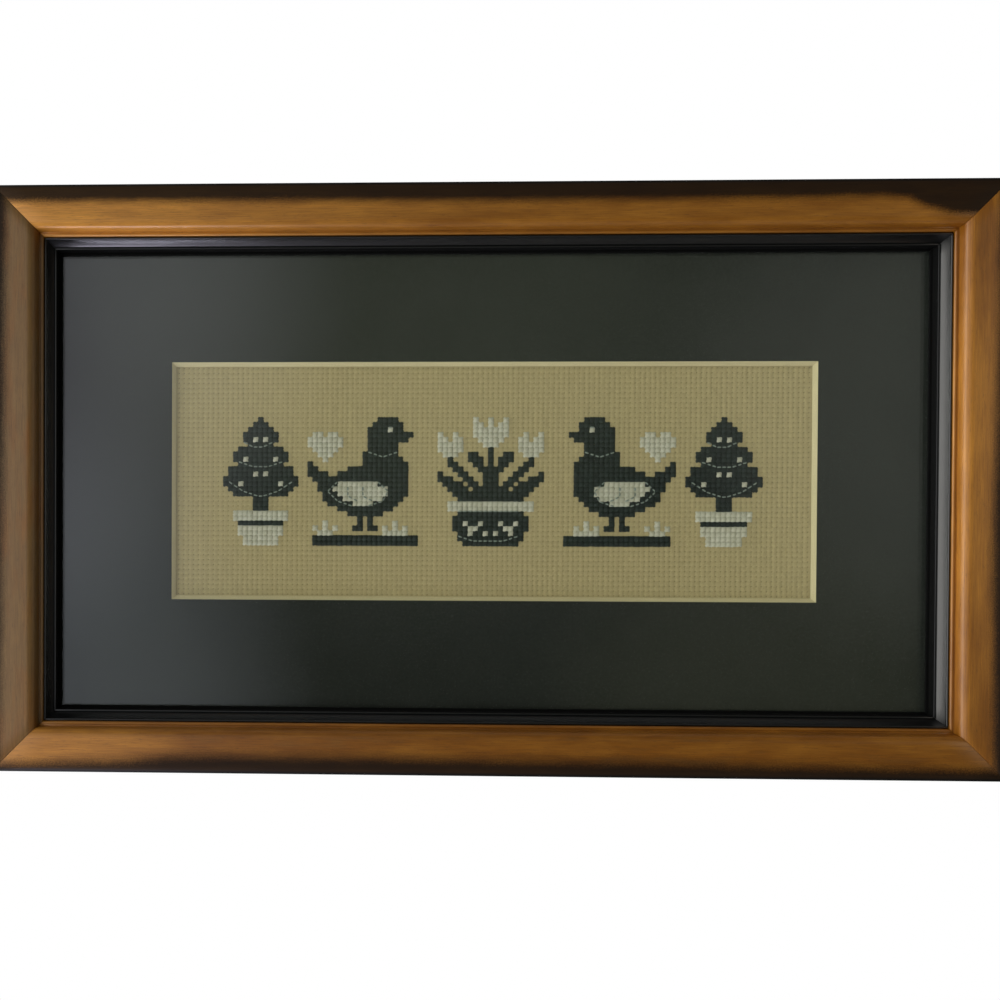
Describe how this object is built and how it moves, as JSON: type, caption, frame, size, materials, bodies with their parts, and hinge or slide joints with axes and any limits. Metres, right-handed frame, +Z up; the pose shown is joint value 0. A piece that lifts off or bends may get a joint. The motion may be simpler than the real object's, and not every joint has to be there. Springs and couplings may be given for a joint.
{
  "type": "framed cross-stitch picture in a wooden frame",
  "caption": "Wide, low cross-stitch picture on block-weave cloth behind a dark window mat and glass, in a mitred copper-stained wooden frame with a black inner slip.",
  "frame": {"origin": "middle of the top rail's flat back face, where the frame hangs against the wall", "axes": "+X along the picture's width, +Y out of its back towards the wall, +Z up; the stitched front faces -Y"},
  "size_m": [0.354, 0.0218, 0.2084],
  "materials": {
    "stained_wood": "copper-brown stained hardwood, satin lacquer, outer edge burnished dark",
    "black_lacquer": "black gloss lacquer on wood",
    "picture_glass": "clear 2 mm picture glass",
    "mat_board": "charcoal faced mat board with a cream core at its bevelled window",
    "block_weave_cloth": "khaki-tan cotton block-weave embroidery cloth",
    "dark_thread": "green-black stranded cotton",
    "pale_thread": "off-white stranded cotton",
    "sage_thread": "sage-grey stranded cotton, in outlines",
    "backing_board": "plain brown board"
  },
  "bodies": {
    "root": {"rail_top": "stained_wood", "rail_right": "stained_wood", "rail_bottom": "stained_wood", "rail_left": "stained_wood", "slip_top": "black_lacquer", "slip_right": "black_lacquer", "slip_bottom": "black_lacquer", "slip_left": "black_lacquer", "glass_pane": "picture_glass", "window_mat": "mat_board", "stitched_cloth": "block_weave_cloth", "backing_board": "backing_board"}
  },
  "joints": []
}
